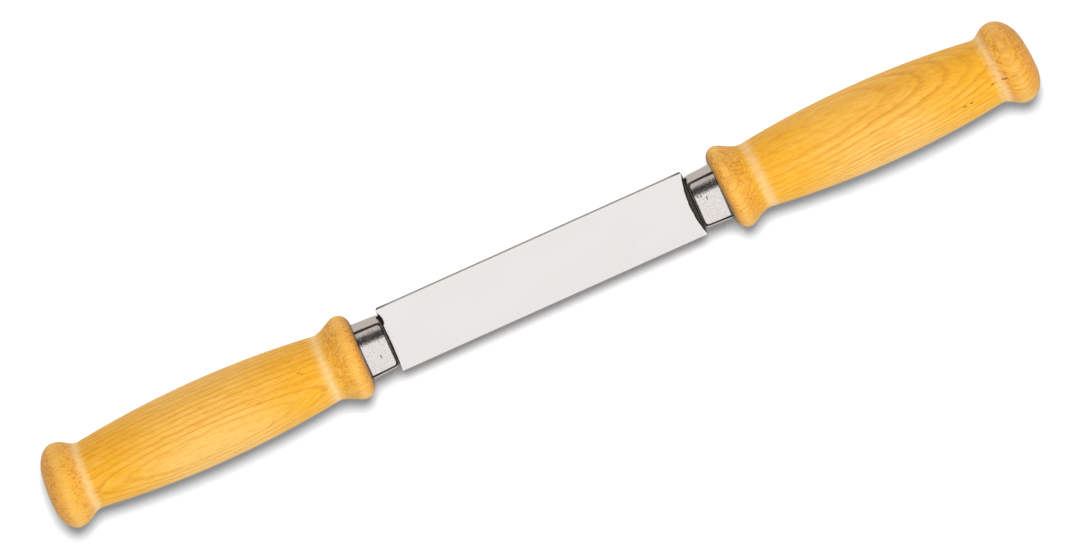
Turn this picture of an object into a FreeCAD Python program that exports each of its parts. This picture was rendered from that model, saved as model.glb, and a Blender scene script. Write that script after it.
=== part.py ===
import FreeCAD, Part
import math
import os
from FreeCAD import Vector

# A two-handled drawknife, as loose pieces in their assembled places:
#   blade                                 flat steel strip, bevelled on both faces, with a tang at each end
#   left_ferrule, right_ferrule           pressed oval cups that each tang passes through
#   left_handle, right_handle             oval barrel handles with a flared ring at each end
#   left_tang_glue, right_tang_glue       the adhesive that beds each tang in its mortise
#
# Frame, in millimetres: X runs along the tool, +Y from the cutting edge to the spine, +Z out of the blade's
# face. Every piece is drawn on the +X side of the blade's middle, in its assembled place, and the left-hand
# ones are mirrored. The left handle is the longer, so everything then moves a little towards +X, which puts
# the origin at the middle of the whole tool.

# ---- driving dimensions -------------------------------------------------------------------------
# blade
BLADE_LENGTH = 113.0           # shoulder to shoulder
BLADE_WIDTH = 23.4             # cutting edge to spine
GROUND_THICKNESS = 2.7         # between the two ground faces
SCALE_DEPTH = 0.12             # how far each ground face lies below the strip's black, unground surface
BEVEL_WIDTH = 5.0              # measured across the face, on both sides of the edge
EDGE_LAND = 0.08               # the flat left along the cutting edge
SPINE_CHAMFER = 0.25
SPINE_CORNER_RADIUS = 0.9      # the spine's two outer corners, seen on the face
PLUNGE_RIGHT = 1.9             # how far the unground crescent reaches in from the right shoulder
PLUNGE_LEFT = 0.55             # and from the left one, where the grinder went closer

# tang
TANG_LENGTH = 72.0             # from the shoulder
TANG_ROOT_WIDTH = 11.0
TANG_TIP_WIDTH = 6.0
TANG_TIP_CHAMFER = 1.5
GLUE_FILM = 0.6                # adhesive around the tang

# ferrule
FERRULE_LENGTH = 11.4          # outside, end wall to rim
FERRULE_RIM_HALF = (10.15, 7.25)    # half height and half thickness at the rim
FERRULE_END_HALF = (9.55, 6.85)     # the same at the end wall
FERRULE_WALL = 1.0
FERRULE_END_WALL = 1.2
FERRULE_CORNER_SHARE = (0.835, 0.80)  # where broad and narrow sides meet, as a share of the half sizes
FERRULE_CORNER_RADIUS = 0.95   # along the four long corners
FERRULE_CORNER_INSET = 0.73    # how far the centre of that rounding lies inside the corner
FERRULE_EDGE_RADIUS = 0.9      # round the end wall
SLOT_CLEARANCE = 0.2           # around the tang, where it passes the end wall

# handle
FERRULE_SHOWING = 10.0         # from the blade's shoulder to the handle's front face
OVAL = 0.85                    # handle thickness over handle height
RING_RADIUS = 15.05            # half height at the crest of both flared rings
BELLY_RADIUS = 14.65
NECK_RADIUS = 11.9
POMMEL_FLAT_RADIUS = 4.6       # flat at the middle of the butt
FRONT_FLAT_RADIUS = 10.8       # half height of the front face, inside its rounding
POMMEL_SWEEP = (4.3, 3.4)      # how long the curve from ring to neck stays level, at crest and at neck
FRONT_SWEEP = (2.6, 3.6)
FIT_GAP = 0.05                 # between spigot and ferrule, and around the ferrule in its rebate
SPIGOT_ROOT = 2.0              # how far the spigot is drawn on into the body it grows from

# The handles differ a little, being turned and shaped by hand. Pommel ring and neck are measured from the
# pommel's end, front ring and neck from the front face; ring_lean is how far the rings lean away from the
# blade on the edge side, per unit of height.
RIGHT_HANDLE = {
    "length": 113.9,
    "pommel_crest": 7.6,
    "pommel_neck": 16.3,
    "front_neck": 13.1,
    "front_crest": 3.9,
    "ring_lean": 0.075,
}
LEFT_HANDLE = {
    "length": 116.0,
    "pommel_crest": 6.6,
    "pommel_neck": 15.8,
    "front_neck": 13.7,
    "front_crest": 4.2,
    "ring_lean": 0.04,
}

# ---- places worked out from them ----------------------------------------------------------------
SHOULDER_X = BLADE_LENGTH / 2
EDGE_Y = -BLADE_WIDTH / 2
SPINE_Y = BLADE_WIDTH / 2
STOCK_THICKNESS = GROUND_THICKNESS + 2 * SCALE_DEPTH
RIM_X = SHOULDER_X + FERRULE_LENGTH
FRONT_FACE_X = SHOULDER_X + FERRULE_SHOWING
TANG_TIP_X = SHOULDER_X + TANG_LENGTH
MORTISE_END_X = TANG_TIP_X + GLUE_FILM
SPIGOT_FACE_X = SHOULDER_X + FERRULE_END_WALL + FIT_GAP

TO_TOOL_MIDDLE = Vector((LEFT_HANDLE["length"] - RIGHT_HANDLE["length"]) / 2, 0, 0)

MIRROR_PLANE = (Vector(0, 0, 0), Vector(1, 0, 0))
REACH = 60.0                   # longer than any section, for cutting tools that pass right through
CUT_PAST = 1.0                 # how far the other cutting tools run on past what they cut
SAME_PLACE = 1e-3              # coordinates closer than this count as equal
QUARTER_PULL = 0.5523          # makes a cubic curve follow a quarter of an ellipse


# ---- helpers ------------------------------------------------------------------------------------
def polygon_prism(points_yz, x_start, x_end):
    """A straight bar along X whose section is the given (y, z) polygon."""
    points = [Vector(x_start, y, z) for y, z in points_yz]
    face = Part.Face(Part.makePolygon(points + points[:1]))
    return face.extrude(Vector(x_end - x_start, 0, 0))


def plate(points_xy, thickness):
    """A flat plate, centred on Z = 0, whose outline is the given (x, y) polygon."""
    points = [Vector(x, y, -thickness / 2) for x, y in points_xy]
    face = Part.Face(Part.makePolygon(points + points[:1]))
    return face.extrude(Vector(0, 0, thickness))


def chord_radius(half_chord, rise):
    """Radius of the arc that spans a chord and rises by the given height at its middle."""
    return (half_chord ** 2 + rise ** 2) / (2 * rise)


def mirrored(shape):
    return shape.mirror(*MIRROR_PLANE)


# ---- blade --------------------------------------------------------------------------------------
def tang_width(x):
    """Full width of the tapering tang at a place along the tool."""
    share = (x - SHOULDER_X) / TANG_LENGTH
    return TANG_ROOT_WIDTH + share * (TANG_TIP_WIDTH - TANG_ROOT_WIDTH)


def tang():
    """The right tang, from inside the blade's end to its chamfered tip."""
    root = TANG_ROOT_WIDTH / 2
    tip = TANG_TIP_WIDTH / 2
    outline = [
        (SHOULDER_X, -root),
        (TANG_TIP_X - TANG_TIP_CHAMFER, -tang_width(TANG_TIP_X - TANG_TIP_CHAMFER) / 2),
        (TANG_TIP_X, -(tip - TANG_TIP_CHAMFER)),
        (TANG_TIP_X, tip - TANG_TIP_CHAMFER),
        (TANG_TIP_X - TANG_TIP_CHAMFER, tang_width(TANG_TIP_X - TANG_TIP_CHAMFER) / 2),
        (SHOULDER_X, root),
    ]
    return plate(outline, STOCK_THICKNESS)


def blade_bar():
    """The unground strip between the shoulders, with its double bevel and eased spine."""
    face_z = STOCK_THICKNESS / 2
    bevel_top = EDGE_Y + BEVEL_WIDTH
    half = [
        (EDGE_Y, EDGE_LAND / 2),
        (bevel_top, GROUND_THICKNESS / 2),
        (bevel_top, face_z),
        (SPINE_Y - SPINE_CHAMFER, face_z),
        (SPINE_Y, face_z - SPINE_CHAMFER),
    ]
    section = half + [(y, -z) for y, z in reversed(half)]
    bar = polygon_prism(section, -SHOULDER_X, SHOULDER_X)
    spine_corners = [
        edge
        for edge in bar.Edges
        if abs(edge.BoundBox.YMin - SPINE_Y) < SAME_PLACE
        and abs(edge.BoundBox.XMax - edge.BoundBox.XMin) < SAME_PLACE
    ]
    return bar.makeFillet(SPINE_CORNER_RADIUS, spine_corners)


def face_grind(side):
    """What the grinder takes off one face (side +1 or -1), ending in a shallow arc at each shoulder."""
    floor_z = GROUND_THICKNESS / 2 if side > 0 else -GROUND_THICKNESS / 2 - REACH
    tool = Part.makeBox(
        BLADE_LENGTH, BLADE_WIDTH + 2 * CUT_PAST, REACH,
        Vector(-SHOULDER_X, EDGE_Y - CUT_PAST, floor_z),
    )
    for end, rise in ((1, PLUNGE_RIGHT), (-1, PLUNGE_LEFT)):
        radius = chord_radius(BLADE_WIDTH / 2, rise)
        centre_x = end * (SHOULDER_X - rise + radius)
        crescent = Part.makeCylinder(radius, 2 * REACH, Vector(centre_x, 0, -REACH), Vector(0, 0, 1))
        tool = tool.cut(crescent)
    return tool


def make_blade():
    bar = blade_bar()
    for side in (1, -1):
        bar = bar.cut(face_grind(side))
    right_tang = tang()
    return bar.fuse([right_tang, mirrored(right_tang)]).removeSplitter()


# ---- ferrule ------------------------------------------------------------------------------------
def oval_section(x, shrink=0.0):
    """The ferrule's outline across X: four crowned sides with rounded corners, inset all round by shrink."""
    share = (x - SHOULDER_X) / FERRULE_LENGTH
    half_y, half_z = [end + share * (rim - end) for end, rim in zip(FERRULE_END_HALF, FERRULE_RIM_HALF)]
    # a sharp-cornered core, which the offset below brings back out to full size with round corners
    side = half_y - FERRULE_CORNER_RADIUS
    crown = half_z - FERRULE_CORNER_RADIUS
    corner_y = FERRULE_CORNER_SHARE[0] * half_y - FERRULE_CORNER_INSET
    corner_z = FERRULE_CORNER_SHARE[1] * half_z - FERRULE_CORNER_INSET
    corners = [Vector(x, y * corner_y, z * corner_z) for y, z in ((-1, 1), (1, 1), (1, -1), (-1, -1))]
    middles = [Vector(x, 0, crown), Vector(x, side, 0), Vector(x, 0, -crown), Vector(x, -side, 0)]
    arcs = [Part.Arc(corners[i], middles[i], corners[(i + 1) % 4]).toShape() for i in range(4)]
    return Part.Wire(arcs).makeOffset2D(FERRULE_CORNER_RADIUS - shrink)


def tapered_oval(x_start, x_end, shrink=0.0):
    """Solid between two places along the tool that follows the ferrule's outside, inset by shrink."""
    return Part.makeLoft([oval_section(x_start, shrink), oval_section(x_end, shrink)], True, True)


def lies_at(edge, x):
    return abs(edge.BoundBox.XMin - x) < SAME_PLACE and abs(edge.BoundBox.XMax - x) < SAME_PLACE


def make_ferrule():
    outside = tapered_oval(SHOULDER_X, RIM_X)
    outside = outside.makeFillet(FERRULE_EDGE_RADIUS, [e for e in outside.Edges if lies_at(e, SHOULDER_X)])
    hollow = tapered_oval(SHOULDER_X + FERRULE_END_WALL, RIM_X + CUT_PAST, FERRULE_WALL)
    slot_height = TANG_ROOT_WIDTH + 2 * SLOT_CLEARANCE
    slot_width = STOCK_THICKNESS + 2 * SLOT_CLEARANCE
    slot = Part.makeBox(
        FERRULE_END_WALL + 2 * CUT_PAST, slot_height, slot_width,
        Vector(SHOULDER_X - CUT_PAST, -slot_height / 2, -slot_width / 2),
    )
    return outside.cut(hollow).cut(slot)


# ---- handle -------------------------------------------------------------------------------------
def quarter_round(flat, crest):
    """Near-elliptical rounding from the rim of a flat end up to the crest of a ring."""
    curve = Part.BezierCurve()
    flat_pull = Vector(flat.x, flat.y + QUARTER_PULL * (crest.y - flat.y), 0)
    crest_pull = Vector(crest.x + QUARTER_PULL * (flat.x - crest.x), crest.y, 0)
    curve.setPoles([flat, flat_pull, crest_pull, crest])
    return curve.toShape()


def sweep(crest, neck, neck_slope, lengths):
    """S-curve from a ring's crest to the neck, level at the crest and on the belly's slope at the neck."""
    direction = math.copysign(1, neck.x - crest.x)
    curve = Part.BezierCurve()
    crest_pull = Vector(crest.x + direction * lengths[0], crest.y, 0)
    neck_pull = Vector(neck.x - direction * lengths[1], neck.y - direction * lengths[1] * neck_slope, 0)
    curve.setPoles([crest, crest_pull, neck_pull, neck])
    return curve.toShape()


def handle_profile(length, pommel_crest, pommel_neck, front_crest, front_neck):
    """Upper half of the handle's outline, closed along its axis."""
    butt_x = FRONT_FACE_X + length
    butt_centre = Vector(butt_x, 0, 0)
    butt_rim = Vector(butt_x, POMMEL_FLAT_RADIUS, 0)
    outer_crest = Vector(butt_x - pommel_crest, RING_RADIUS, 0)
    outer_neck = Vector(butt_x - pommel_neck, NECK_RADIUS, 0)
    inner_neck = Vector(FRONT_FACE_X + front_neck, NECK_RADIUS, 0)
    inner_crest = Vector(FRONT_FACE_X + front_crest, RING_RADIUS, 0)
    front_rim = Vector(FRONT_FACE_X, FRONT_FLAT_RADIUS, 0)
    front_centre = Vector(FRONT_FACE_X, 0, 0)
    belly = Vector((outer_neck.x + inner_neck.x) / 2, BELLY_RADIUS, 0)
    belly_arc = Part.Arc(outer_neck, belly, inner_neck).toShape()
    belly_centre = belly_arc.Curve.Center
    outer_slope = -(outer_neck.x - belly_centre.x) / (outer_neck.y - belly_centre.y)
    inner_slope = -(inner_neck.x - belly_centre.x) / (inner_neck.y - belly_centre.y)
    edges = [
        Part.makeLine(butt_centre, butt_rim),
        quarter_round(butt_rim, outer_crest),
        sweep(outer_crest, outer_neck, outer_slope, POMMEL_SWEEP),
        belly_arc,
        sweep(inner_crest, inner_neck, inner_slope, FRONT_SWEEP),
        quarter_round(front_rim, inner_crest),
        Part.makeLine(front_rim, front_centre),
        Part.makeLine(front_centre, butt_centre),
    ]
    return Part.Face(Part.Wire(Part.__sortEdges__(edges)))


def handle_body(ring_lean, **outline):
    """The turned shape, flattened to an oval, its rings leaning away from the blade on the edge side."""
    turned = handle_profile(**outline).revolve(Vector(0, 0, 0), Vector(1, 0, 0), 360)
    flatten_and_lean = FreeCAD.Matrix(
        1, -ring_lean, 0, 0,
        0, 1, 0, 0,
        0, 0, OVAL, 0,
        0, 0, 0, 1,
    )
    return turned.transformGeometry(flatten_and_lean)


def stadium(x, height, thickness):
    """Slot-shaped section across X: a rectangle with half-round ends."""
    radius = thickness / 2
    straight = height / 2 - radius
    top_line = Part.makeLine(Vector(x, -straight, radius), Vector(x, straight, radius))
    spine_end = Part.Arc(
        Vector(x, straight, radius), Vector(x, straight + radius, 0), Vector(x, straight, -radius)
    ).toShape()
    bottom_line = Part.makeLine(Vector(x, straight, -radius), Vector(x, -straight, -radius))
    edge_end = Part.Arc(
        Vector(x, -straight, -radius), Vector(x, -straight - radius, 0), Vector(x, -straight, radius)
    ).toShape()
    return Part.Wire([top_line, spine_end, bottom_line, edge_end])


def mortise():
    """The tapering slot that takes the tang and the adhesive round it."""
    thickness = STOCK_THICKNESS + 2 * GLUE_FILM
    # half-round ends need extra height, so that the tang's square corners clear them
    corner_room = thickness - math.sqrt(thickness ** 2 - STOCK_THICKNESS ** 2) + 2 * GLUE_FILM
    sections = [stadium(x, tang_width(x) + corner_room, thickness) for x in (SPIGOT_FACE_X, MORTISE_END_X)]
    return Part.makeLoft(sections, True, True)


def make_handle(own_shape):
    body = handle_body(**own_shape)
    rebate = tapered_oval(SHOULDER_X, RIM_X, -FIT_GAP)
    spigot = tapered_oval(SPIGOT_FACE_X, RIM_X + SPIGOT_ROOT, FERRULE_WALL + FIT_GAP)
    return body.cut(rebate).fuse(spigot).cut(mortise()).removeSplitter()


def make_glue(blade):
    return mortise().cut(blade)


# ---- assembly -----------------------------------------------------------------------------------
def largest_solid(shape):
    return max(shape.Solids, key=lambda solid: solid.Volume)


def main():
    os.makedirs("parts", exist_ok=True)
    blade = make_blade()
    ferrule = make_ferrule()
    glue = make_glue(blade)
    pieces = {
        "blade": blade,
        "right_ferrule": ferrule,
        "left_ferrule": mirrored(ferrule),
        "right_handle": make_handle(RIGHT_HANDLE),
        "left_handle": mirrored(make_handle(LEFT_HANDLE)),
        "right_tang_glue": glue,
        "left_tang_glue": mirrored(glue),
    }
    for name, shape in pieces.items():
        solid = largest_solid(shape).translated(TO_TOOL_MIDDLE)
        print(name, "valid" if solid.isValid() else "INVALID", len(shape.Solids), "solid(s)",
              round(solid.Volume, 1), "mm3", len(solid.Faces), "faces")
        solid.exportStep(f"parts/{name}.step")


main()
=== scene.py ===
import math

import bpy
import numpy as np
from mathutils import Matrix, Vector


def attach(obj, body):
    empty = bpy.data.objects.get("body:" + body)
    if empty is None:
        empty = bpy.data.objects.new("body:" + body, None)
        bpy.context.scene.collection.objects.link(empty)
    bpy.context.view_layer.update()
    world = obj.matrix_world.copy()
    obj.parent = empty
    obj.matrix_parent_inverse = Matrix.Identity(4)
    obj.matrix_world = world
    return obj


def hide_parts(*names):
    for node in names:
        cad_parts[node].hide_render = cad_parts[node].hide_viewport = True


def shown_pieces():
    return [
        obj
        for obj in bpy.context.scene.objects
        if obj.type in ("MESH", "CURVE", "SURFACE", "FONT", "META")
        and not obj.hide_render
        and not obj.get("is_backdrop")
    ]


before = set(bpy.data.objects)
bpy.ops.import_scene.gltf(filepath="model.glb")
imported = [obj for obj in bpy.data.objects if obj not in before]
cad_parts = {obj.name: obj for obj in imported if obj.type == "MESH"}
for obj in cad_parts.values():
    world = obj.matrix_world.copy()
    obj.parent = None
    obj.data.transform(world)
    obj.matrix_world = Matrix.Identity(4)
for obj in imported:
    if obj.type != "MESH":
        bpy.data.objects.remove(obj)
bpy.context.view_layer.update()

# A two-handled drawknife lying on a pale floor. X runs along the tool, +Y from the cutting edge to the spine,
# +Z out of the blade's face. Shapes are drawn in millimetres on the +X side of the blade's middle and turned
# into metres at the end; the left handle and ferrule are mirrored. The left handle is the longer, so the
# blade's middle lies a little on the +X side of the origin, which is the middle of the whole tool.

MM = 0.001

# ---- dimensions, in millimetres -----------------------------------------------------------------
BLADE_LENGTH = 113.0
BLADE_WIDTH = 23.4
PLUNGE_RIGHT = 1.9             # how far the unground crescent reaches in from the right shoulder
PLUNGE_LEFT = 0.55
STOCK_THICKNESS = 2.94         # of the unground strip and tangs

TANG_LENGTH = 72.0
TANG_ROOT_WIDTH = 11.0
TANG_TIP_WIDTH = 6.0
GLUE_FILM = 0.6

FERRULE_LENGTH = 11.4
FERRULE_SHOWING = 10.0         # the rest is sunk in the handle
FERRULE_RIM_HALF = (10.15, 7.25)
FERRULE_END_HALF = (9.55, 6.85)
FERRULE_CORNER_SHARE = (0.835, 0.80)
FERRULE_CORNER_RADIUS = 0.95
FERRULE_CORNER_INSET = 0.7315
FERRULE_WALL = 1.0
FERRULE_END_WALL = 1.2
FERRULE_END_ROUNDING = (1.6, 0.9)   # lengthwise and inwards
FERRULE_RIM_CHAMFER = 0.12
FERRULE_INSIDE_CHAMFER = 0.3
SLOT_HALF = (5.7, 1.67)
SLOT_CHAMFER = 0.2

OVAL = 0.85                    # handle thickness over handle height
RING_RADIUS = 15.05
BELLY_RADIUS = 14.65
NECK_RADIUS = 11.9
POMMEL_FLAT_RADIUS = 4.6
FRONT_FLAT_RADIUS = 10.8
POMMEL_SWEEP = (4.3, 3.4)
FRONT_SWEEP = (2.6, 3.6)
FIT_GAP = 0.05
SEAM = 0.25                    # chamfer in the wood round the ferrule

# The handles differ a little. Pommel ring and neck are measured from the pommel's end, front ring and neck
# from the front face, and so are the painted highlights at the necks; lean is how far the front ring and the
# pommel's lean away from the blade on the edge side, per unit of height.
RIGHT_HANDLE = {
    "length": 113.9,
    "pommel_crest": 7.6,
    "pommel_neck": 16.3,
    "front_neck": 13.1,
    "front_crest": 3.9,
    "lean": (0.045, 0.085),
    "highlight_places": (13.8, 100.2),
}
LEFT_HANDLE = {
    "length": 116.0,
    "pommel_crest": 6.6,
    "pommel_neck": 15.8,
    "front_neck": 13.7,
    "front_crest": 4.2,
    "lean": (0.02, 0.06),
    "highlight_places": (13.3, 102.0),
}
BLADE_MIDDLE = (LEFT_HANDLE["length"] - RIGHT_HANDLE["length"]) / 2

SHOULDER_X = BLADE_LENGTH / 2
RIM_X = SHOULDER_X + FERRULE_LENGTH
FRONT_FACE_X = SHOULDER_X + FERRULE_SHOWING
FLOOR_GAP = 0.05               # under the handles' rings
FLOOR_Z = -RING_RADIUS * OVAL - FLOOR_GAP

QUARTER_PULL = 0.5523          # makes a cubic curve follow a quarter of an ellipse
AROUND = 176                   # points in each ring of a mesh
CIRCLE = np.linspace(0, 2 * math.pi, AROUND, endpoint=False)


# ---- outlines across X, as (y, z) points at the directions in CIRCLE ------------------------------
def at_directions(outline):
    """Points of a closed outline round the axis, resampled to lie in the directions of CIRCLE."""
    angle = np.arctan2(outline[:, 1], outline[:, 0]) % (2 * math.pi)
    order = np.argsort(angle)
    reach = np.interp(CIRCLE, angle[order], np.hypot(*outline[order].T), period=2 * math.pi)
    return np.stack([reach * np.cos(CIRCLE), reach * np.sin(CIRCLE)], axis=1)


def ellipse(half_y, half_z):
    return np.stack([half_y * np.cos(CIRCLE), half_z * np.sin(CIRCLE)], axis=1)


def arc_through(half_chord, rise):
    """Radius of an arc and the distance from its chord's middle to its centre."""
    radius = (half_chord ** 2 + rise ** 2) / (2 * rise)
    return radius, radius - rise


def ferrule_outline(x, shrink=0.0):
    """Four crowned sides with rounded corners, inset all round by shrink."""
    share = (x - SHOULDER_X) / FERRULE_LENGTH
    half_y, half_z = [end + share * (rim - end) for end, rim in zip(FERRULE_END_HALF, FERRULE_RIM_HALF)]
    side = half_y - FERRULE_CORNER_RADIUS
    crown = half_z - FERRULE_CORNER_RADIUS
    corner_y = FERRULE_CORNER_SHARE[0] * half_y - FERRULE_CORNER_INSET
    corner_z = FERRULE_CORNER_SHARE[1] * half_z - FERRULE_CORNER_INSET
    broad_radius, broad_depth = arc_through(corner_y, crown - corner_z)
    narrow_radius, narrow_depth = arc_through(corner_z, side - corner_y)
    facing = np.linspace(0, 2 * math.pi, 1440, endpoint=False)
    normal = np.stack([np.cos(facing), np.sin(facing)], axis=1)
    first_quarter = np.abs(normal)
    broad = first_quarter[:, 0] * broad_radius <= corner_y
    narrow = first_quarter[:, 1] * narrow_radius <= corner_z
    core = np.tile([corner_y, corner_z], (len(facing), 1))
    core[broad] = first_quarter[broad] * broad_radius + [0, corner_z - broad_depth]
    core[narrow] = first_quarter[narrow] * narrow_radius + [corner_y - narrow_depth, 0]
    outline = core * np.sign(normal + 1e-12) + normal * (FERRULE_CORNER_RADIUS - shrink)
    return at_directions(outline)


def stadium(height, thickness):
    """Slot shape: a rectangle with half-round ends."""
    turn = np.linspace(0, 2 * math.pi, 720, endpoint=False)
    straight = (height - thickness) / 2
    points = thickness / 2 * np.stack([np.cos(turn), np.sin(turn)], axis=1)
    points[:, 0] += np.where(points[:, 0] >= 0, straight, -straight)
    fill = np.linspace(-straight, straight, 60)
    top = np.stack([fill, np.full(60, thickness / 2)], axis=1)
    return at_directions(np.concatenate([points, top, -top]))


def rectangle(half_y, half_z):
    reach = 1 / np.maximum(np.abs(np.cos(CIRCLE)) / half_y, np.abs(np.sin(CIRCLE)) / half_z)
    return np.stack([reach * np.cos(CIRCLE), reach * np.sin(CIRCLE)], axis=1)


def ring(x, outline):
    """One mesh ring: an outline placed at x, which is a number or one number per point."""
    return np.column_stack([np.broadcast_to(x, AROUND), outline])


def between(first, last, shares):
    """Rings that blend from one to another, at the given shares of the way."""
    return [first + share * (last - first) for share in shares]


# ---- curves along X -------------------------------------------------------------------------------
def bezier(p0, p1, p2, p3, count):
    t = np.linspace(0, 1, count)[:, None]
    p0, p1, p2, p3 = map(np.array, (p0, p1, p2, p3))
    return (1 - t) ** 3 * p0 + 3 * (1 - t) ** 2 * t * p1 + 3 * (1 - t) * t ** 2 * p2 + t ** 3 * p3


def quarter_round(flat, crest, count):
    """Near-elliptical rounding from the rim of a flat end up to the crest of a ring."""
    flat_pull = (flat[0], flat[1] + QUARTER_PULL * (crest[1] - flat[1]))
    crest_pull = (crest[0] + QUARTER_PULL * (flat[0] - crest[0]), crest[1])
    return bezier(flat, flat_pull, crest_pull, crest, count)


def handle_outline(own_shape):
    """(distance from the front face, radius) from the middle of the butt to the edge of the front face."""
    butt = own_shape["length"]
    outer_crest = (butt - own_shape["pommel_crest"], RING_RADIUS)
    outer_neck = (butt - own_shape["pommel_neck"], NECK_RADIUS)
    inner_neck = (own_shape["front_neck"], NECK_RADIUS)
    inner_crest = (own_shape["front_crest"], RING_RADIUS)
    half_span = (outer_neck[0] - inner_neck[0]) / 2
    arc_radius, arc_depth = arc_through(half_span, BELLY_RADIUS - NECK_RADIUS)
    slope = half_span / arc_depth
    along = np.linspace(outer_neck[0], inner_neck[0], 110)
    middle = along.mean()
    belly = NECK_RADIUS - arc_depth + np.sqrt(arc_radius ** 2 - (along - middle) ** 2)
    parts = [
        np.column_stack([np.full(7, butt), np.linspace(0.3, POMMEL_FLAT_RADIUS, 8)[:-1]]),
        quarter_round((butt, POMMEL_FLAT_RADIUS), outer_crest, 34)[:-1],
        bezier(
            outer_crest,
            (outer_crest[0] - POMMEL_SWEEP[0], RING_RADIUS),
            (outer_neck[0] + POMMEL_SWEEP[1], NECK_RADIUS - POMMEL_SWEEP[1] * slope),
            outer_neck,
            34,
        )[:-1],
        np.column_stack([along, belly])[:-1],
        bezier(
            inner_neck,
            (inner_neck[0] - FRONT_SWEEP[1], NECK_RADIUS - FRONT_SWEEP[1] * slope),
            (inner_crest[0] + FRONT_SWEEP[0], RING_RADIUS),
            inner_crest,
            34,
        )[:-1],
        quarter_round((0, FRONT_FLAT_RADIUS), inner_crest, 26)[::-1],
    ]
    return np.concatenate(parts)


# ---- meshes -----------------------------------------------------------------------------------------
def mesh_from_rings(name, rings, side, body, material, closed_loop=False):
    """Skin over a list of rings, mirrored to -X for side -1, capped at both ends unless a closed loop."""
    count = len(rings)
    points = np.concatenate(rings)
    around = np.arange(AROUND)
    following = (around + 1) % AROUND
    faces = []
    for i in range(count if closed_loop else count - 1):
        j = (i + 1) % count
        quads = np.column_stack([
            i * AROUND + around, i * AROUND + following, j * AROUND + following, j * AROUND + around
        ])
        faces += quads.tolist()
    if not closed_loop:
        first, last = len(points), len(points) + 1
        points = np.concatenate([points, [rings[0].mean(0), rings[-1].mean(0)]])
        base = (count - 1) * AROUND
        faces += [[first, b, a] for a, b in zip(around.tolist(), following.tolist())]
        faces += [[last, base + a, base + b] for a, b in zip(around.tolist(), following.tolist())]
    points = (points * [side, 1, 1] + [BLADE_MIDDLE, 0, 0]) * MM
    mesh = bpy.data.meshes.new(name)
    mesh.from_pydata(points.tolist(), [], faces)
    mesh.validate()
    mesh.update()
    obj = bpy.data.objects.new(name, mesh)
    bpy.context.scene.collection.objects.link(obj)
    make_outward(obj)
    mesh.polygons.foreach_set("use_smooth", [True] * len(mesh.polygons))
    mesh.materials.append(material)
    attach(obj, body)
    return obj


def make_outward(obj):
    """Turns the faces outwards if the mesh encloses a negative volume."""
    mesh = obj.data
    mesh.calc_loop_triangles()
    corners = np.array([[mesh.vertices[i].co for i in t.vertices] for t in mesh.loop_triangles])
    volume = np.einsum("ij,ij->i", corners[:, 0], np.cross(corners[:, 1], corners[:, 2])).sum()
    if volume < 0:
        mesh.flip_normals()


def tang_width(x):
    share = (x - SHOULDER_X) / TANG_LENGTH
    return TANG_ROOT_WIDTH + share * (TANG_TIP_WIDTH - TANG_ROOT_WIDTH)


def mortise_outline(x):
    thickness = STOCK_THICKNESS + 2 * GLUE_FILM
    corner_room = thickness - math.sqrt(thickness ** 2 - STOCK_THICKNESS ** 2) + 2 * GLUE_FILM
    return stadium(tang_width(x) + corner_room, thickness)


def hand_wobble(x, seed):
    """Slow departures from a true turned shape, as a factor on the radius at each direction of CIRCLE."""
    draw = np.random.default_rng(seed)
    wobble = np.zeros(AROUND)
    for lobes, size in ((1, 0.0022), (2, 0.0030), (3, 0.0014), (5, 0.0007)):
        length, start, phase = draw.uniform(25, 60), draw.uniform(0, 6), draw.uniform(0, 6)
        wobble += size * math.sin(x / length + start) * np.cos(lobes * CIRCLE + phase)
    return 1 + wobble


NECK_REACH = 2.0               # how far a neck reaches towards its ring
LEAST_CUT_ON_RINGS = 0.2       # their crests count as cutting the fibres at least this steeply
SHADE_STARTS = 14.5            # radius on the front face inside which painted shade shows
SHADE_DEEPENS = 3.0            # further in by this much, it is at its darkest
SHADE_MOST = 0.7


def turning_marks(outline, own_shape):
    """For each outline point: how steeply it cuts the fibres, how much painted highlight it carries,
    and how much painted shade it gets, which is only near the ferrule."""
    distance, radius = outline.T
    # a tiny drift keeps the places distinct where the outline runs straight in or out
    drift = np.arange(len(distance)) * 1e-6
    slope = np.abs(np.gradient(radius, distance - drift))
    cut = slope / np.hypot(slope, 1)
    outer_neck = own_shape["length"] - own_shape["pommel_neck"]
    inner_neck = own_shape["front_neck"]
    on_rings = (distance > outer_neck + NECK_REACH) | (distance < inner_neck - NECK_REACH)
    cut = np.where(on_rings, np.maximum(cut, LEAST_CUT_ON_RINGS), cut)
    painted_highlight = np.zeros(len(distance))
    # painted highlights: the lacquer's sheen where the necks turn, fainter along the ring crests
    for centre, width, strength in (
        (own_shape["highlight_places"][0], 1.7, 0.85),
        (own_shape["highlight_places"][1], 1.4, 0.85),
        (own_shape["front_crest"], 2.0, 0.28),
        (own_shape["length"] - own_shape["pommel_crest"], 2.4, 0.28),
    ):
        painted_highlight = np.maximum(painted_highlight, strength * np.exp(-((distance - centre) / width) ** 2))
    painted_shade = np.where(distance < own_shape["front_crest"], (SHADE_STARTS - radius) / SHADE_DEEPENS, 0)
    return cut, painted_highlight, np.clip(painted_shade, 0, 1) * SHADE_MOST


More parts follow.
